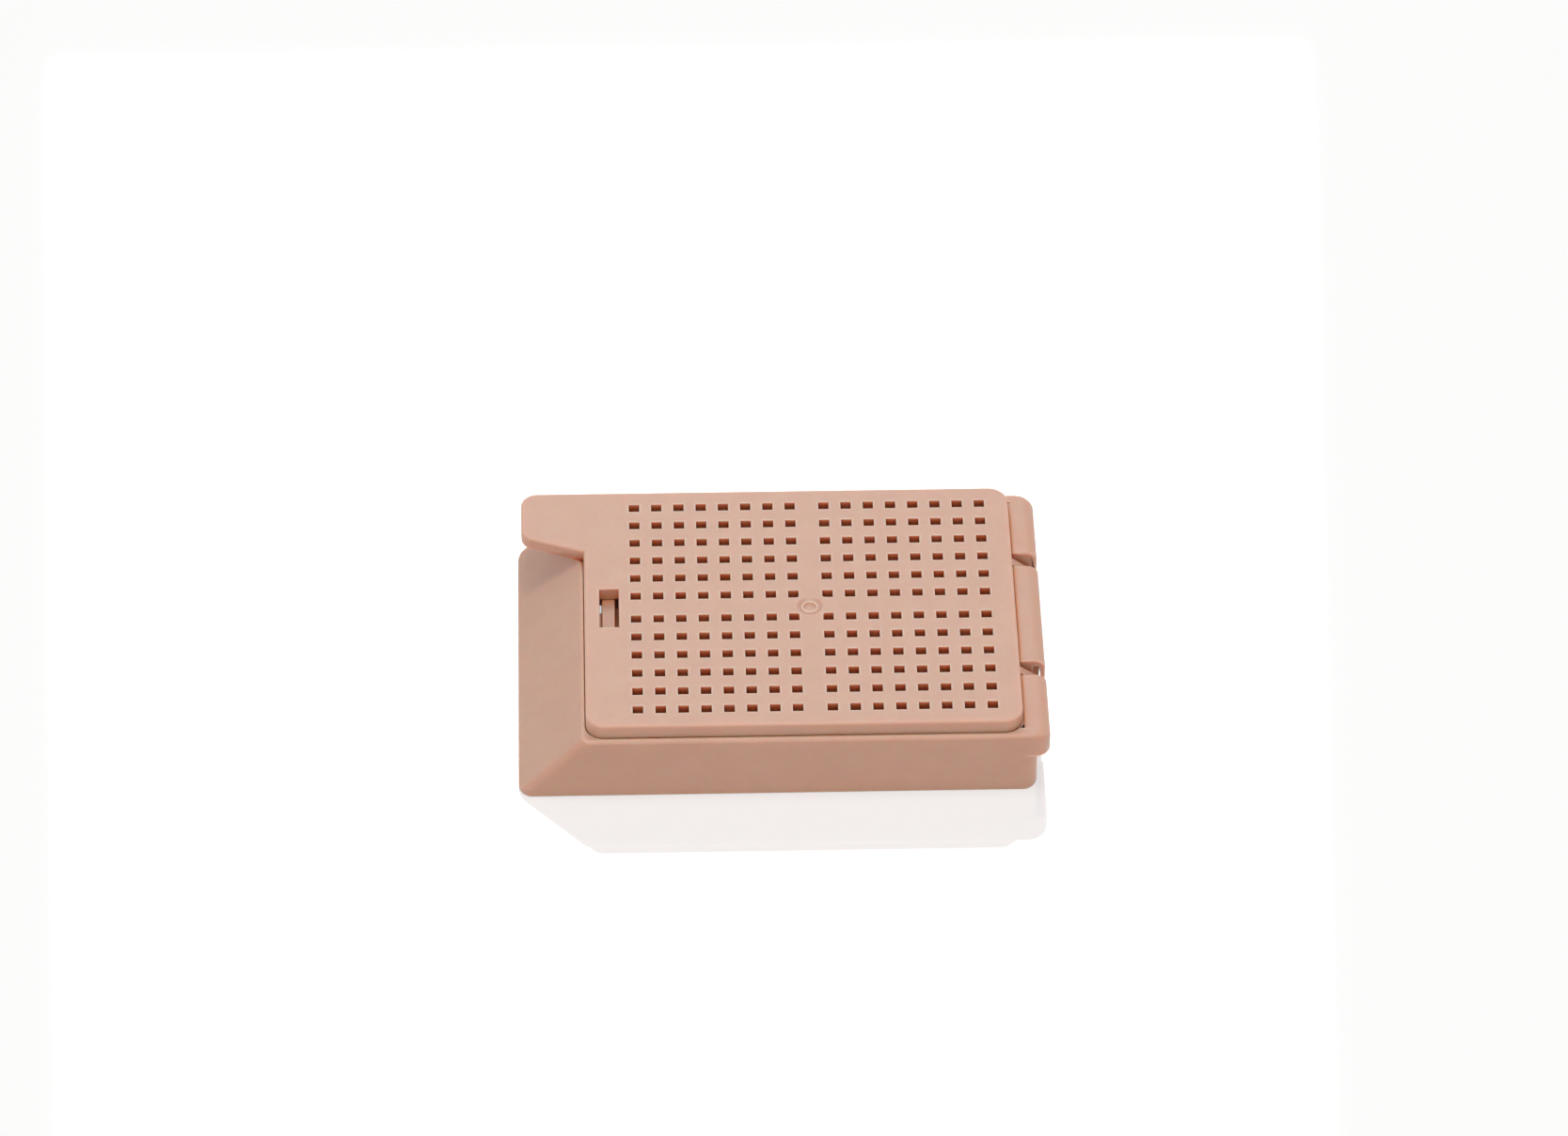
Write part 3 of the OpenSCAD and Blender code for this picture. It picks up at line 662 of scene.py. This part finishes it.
def plastic(name, pale, deep, highlight_tone=PAINTED_HIGHLIGHT_TONE, scatter=SCATTER):
    """Matte moulded plastic: mottled colour, a painted highlight on thin edges, painted shade in
    holes and gaps, fine grain, and a slight waviness.
    """
    material = bpy.data.materials.new(name)
    material.use_nodes = True
    tree = material.node_tree
    shader = tree.nodes["Principled BSDF"]
    where = add_node(tree, "ShaderNodeTexCoord").outputs["Object"]

    def noise(scale, detail, roughness=0.5):
        node = add_node(tree, "ShaderNodeTexNoise", Scale=scale, Detail=detail, Roughness=roughness)
        tree.links.new(where, node.inputs["Vector"])
        return node.outputs["Fac"]

    def ranged(value, low, high, start=0.3, end=0.7):
        """Low to high as the value goes from start to end."""
        node = add_node(tree, "ShaderNodeMapRange")
        limits = {"From Min": start, "From Max": end, "To Min": low, "To Max": high}
        for key, number in limits.items():
            node.inputs[key].default_value = number
        tree.links.new(value, node.inputs["Value"])
        return node.outputs["Result"]

    def blend_colours(factor, first, second):
        """Mix of two colours, each one plain or another node's output."""
        node = add_node(tree, "ShaderNodeMix", data_type="RGBA")
        for socket, colour in ((node.inputs[MIX_A], first), (node.inputs[MIX_B], second)):
            if isinstance(colour, tuple):
                socket.default_value = (*colour, 1)
            else:
                tree.links.new(colour, socket)
        tree.links.new(factor, node.inputs["Factor"])
        return node.outputs[MIX_RESULT]

    mottle = ranged(noise(MOTTLE, 3, 0.6), 0.0, 0.75)
    speck = ranged(noise(SPECK, 2), 0.0, 0.35)
    total = add_node(tree, "ShaderNodeMath", operation="ADD")
    tree.links.new(mottle, total.inputs[0])
    tree.links.new(speck, total.inputs[1])
    tone = blend_colours(total.outputs[0], pale, deep)
    # painted highlight: thin raised edges, found by ambient occlusion looking inside the surface,
    # are painted a little paler
    edge = add_node(
        tree, "ShaderNodeAmbientOcclusion", Distance=EDGE_REACH, samples=6, inside=True
    ).outputs["AO"]
    highlighted = blend_colours(ranged(edge, 1.0, 0.0, 0.45, 0.95), tone, highlight_tone)
    # painted shade: holes and gaps, found by ambient occlusion, are painted a deep orange at the
    # mouth, darkening to near black further in, in place of their shade and the coloured light
    # bounced inside them
    shade_mask = add_node(
        tree, "ShaderNodeAmbientOcclusion", Distance=NOOK_REACH, samples=8
    ).outputs["AO"]
    painted_cavity_shade = blend_colours(ranged(shade_mask, 0.0, 1.0, 0.12, 0.4), DEEP_SHADE_TONE, MOUTH_SHADE_TONE)
    shaded = blend_colours(ranged(shade_mask, 1.0, 0.0, 0.36, 0.62), highlighted, painted_cavity_shade)
    tree.links.new(shaded, shader.inputs["Base Color"])
    tree.links.new(ranged(noise(SHEEN, 3), 0.36, 0.48), shader.inputs["Roughness"])

    waves = add_node(tree, "ShaderNodeBump", Strength=0.35, Distance=0.00006)
    tree.links.new(noise(WAVE, 2), waves.inputs["Height"])
    grain = add_node(tree, "ShaderNodeBump", Strength=0.5, Distance=0.00001)
    tree.links.new(noise(GRAIN, 3, 0.6), grain.inputs["Height"])
    tree.links.new(waves.outputs["Normal"], grain.inputs["Normal"])
    tree.links.new(grain.outputs["Normal"], shader.inputs["Normal"])

    shader.inputs["Subsurface Weight"].default_value = 1.0
    shader.inputs["Subsurface Radius"].default_value = (1.0, 0.33, 0.15)
    shader.inputs["Subsurface Scale"].default_value = scatter
    shader.inputs["Specular IOR Level"].default_value = 0.6
    return material


def light_path_switch(tree):
    """1 for rays from the camera, off glossy surfaces or through clear ones, else 0."""
    path = add_node(tree, "ShaderNodeLightPath")
    first = add_node(tree, "ShaderNodeMath", operation="MAXIMUM")
    both = add_node(tree, "ShaderNodeMath", operation="MAXIMUM")
    tree.links.new(path.outputs["Is Camera Ray"], first.inputs[0])
    tree.links.new(path.outputs["Is Glossy Ray"], first.inputs[1])
    tree.links.new(first.outputs[0], both.inputs[0])
    tree.links.new(path.outputs["Is Transmission Ray"], both.inputs[1])
    return both.outputs[0]


# ---- Pieces ----

tray_plastic = plastic("tray_plastic", *TRAY_TONES)
lid_plastic = plastic("lid_plastic", *LID_TONES)
# the straps are thin all over, so they get no painted edge highlight, and light goes less far in
# them
strap_plastic = plastic("strap_plastic", *TRAY_TONES, highlight_tone=TRAY_TONES[0], scatter=STRAP_SCATTER)

tray = finish_mesh(make_tray(), "tray", tray_plastic)
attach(tray, "tray")
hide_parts("base")

lid = finish_mesh(make_lid(), "lid_cover", lid_plastic)
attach(lid, "lid")
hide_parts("lid")

for side, end in ((1, "rear"), (-1, "front")):
    strap = finish_mesh(make_strap(side * STRAP_Y), f"strap_{end}", strap_plastic)
    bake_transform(strap)
    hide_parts(f"hinge_strap_{end}")

# ---- Floor, world and lights ----

FLOOR_REACH = 3.0
FLOOR_DROP = 0.00001  # keeps it clear of the tray's underside
EMISSION_SHARE, MIRROR_SHARE = 0.7, 0.14

floor_mesh = bpy.data.meshes.new("floor")
floor_corners = [(u * FLOOR_REACH, v * FLOOR_REACH, 0) for u, v in rect(-1, -1, 1, 1)]
floor_mesh.from_pydata(floor_corners, [], [(0, 1, 2, 3)])
floor = bpy.data.objects.new("floor", floor_mesh)
floor.location.z = -FLOOR_DROP
bpy.context.scene.collection.objects.link(floor)
gloss = bpy.data.materials.new("glossy_white")
gloss.use_nodes = True
tree = gloss.node_tree
tree.nodes.clear()
white = add_node(tree, "ShaderNodeEmission", Strength=1.0)
diffuse = add_node(tree, "ShaderNodeBsdfDiffuse", Color=(0.98, 0.98, 0.98, 1))
mirror = add_node(tree, "ShaderNodeBsdfGlossy", Color=(1, 1, 1, 1), Roughness=0.03)
lit = add_node(tree, "ShaderNodeMixShader", Fac=EMISSION_SHARE)
seen = add_node(tree, "ShaderNodeMixShader", Fac=MIRROR_SHARE)
choice = add_node(tree, "ShaderNodeMixShader")
output = add_node(tree, "ShaderNodeOutputMaterial")
tree.links.new(diffuse.outputs[0], lit.inputs[1])
tree.links.new(white.outputs[0], lit.inputs[2])
tree.links.new(lit.outputs[0], seen.inputs[1])
tree.links.new(mirror.outputs[0], seen.inputs[2])
tree.links.new(light_path_switch(tree), choice.inputs["Fac"])
tree.links.new(diffuse.outputs[0], choice.inputs[1])
tree.links.new(seen.outputs[0], choice.inputs[2])
tree.links.new(choice.outputs[0], output.inputs["Surface"])
floor.data.materials.append(gloss)

world = bpy.data.worlds.new("studio")
bpy.context.scene.world = world
world.use_nodes = True
tree = world.node_tree
backdrop = tree.nodes["Background"]
backdrop.inputs["Color"].default_value = (1, 1, 1, 1)
ambient = add_node(tree, "ShaderNodeBackground", Color=(1.0, 0.96, 0.92, 1), Strength=0.35)
choice = add_node(tree, "ShaderNodeMixShader")
tree.links.new(light_path_switch(tree), choice.inputs["Fac"])
tree.links.new(ambient.outputs[0], choice.inputs[1])
tree.links.new(backdrop.outputs[0], choice.inputs[2])
tree.links.new(choice.outputs[0], tree.nodes["World Output"].inputs["Surface"])


def softbox(name, place, size, power, colour=(1, 1, 1)):
    """A square area light that faces the origin."""
    data = bpy.data.lights.new(name, "AREA")
    data.shape, data.size, data.energy, data.color = "SQUARE", size, power, colour
    obj = bpy.data.objects.new(name, data)
    obj.location = place
    obj.rotation_mode = "QUATERNION"
    obj.rotation_quaternion = (Vector() - Vector(place)).to_track_quat("-Z", "Y")
    bpy.context.scene.collection.objects.link(obj)


softbox("rear", (0, 0.45, 0.42), 0.2, 0.5)
softbox("overhead", (0.0, 0.02, 0.5), 0.14, 0.8)
softbox("right", (0.45, -0.08, 0.3), 0.3, 0.36)
softbox("left", (-0.45, -0.1, 0.3), 0.3, 0.26)
softbox("front", (-0.05, -0.5, 0.3), 0.35, 0.56, (1, 0.97, 0.94))

# ---- Camera ----

TURN, RISE, ROLL = math.radians(-1.854), math.radians(41.993), math.radians(0.399)
CAMERA_PLACE = (-0.01401, -0.4425, 0.40929)
LENS, SENSOR_W = 176.09, 36

level = Vector((math.cos(TURN), math.sin(TURN), 0))
back = Vector((math.sin(TURN) * math.cos(RISE), -math.cos(TURN) * math.cos(RISE), math.sin(RISE)))
up = back.cross(level)
right = math.cos(ROLL) * level + math.sin(ROLL) * up
above = math.cos(ROLL) * up - math.sin(ROLL) * level
camera_data = bpy.data.cameras.new("camera")
camera_data.lens, camera_data.sensor_width = LENS, SENSOR_W
camera_data.clip_start, camera_data.clip_end = 0.02, 20
camera = bpy.data.objects.new("camera", camera_data)
rows = [(right[i], above[i], back[i], CAMERA_PLACE[i]) for i in range(3)]
camera.matrix_world = Matrix([*rows, (0, 0, 0, 1)])
bpy.context.scene.collection.objects.link(camera)
bpy.context.scene.camera = camera
bpy.context.scene.view_settings.view_transform = "Standard"
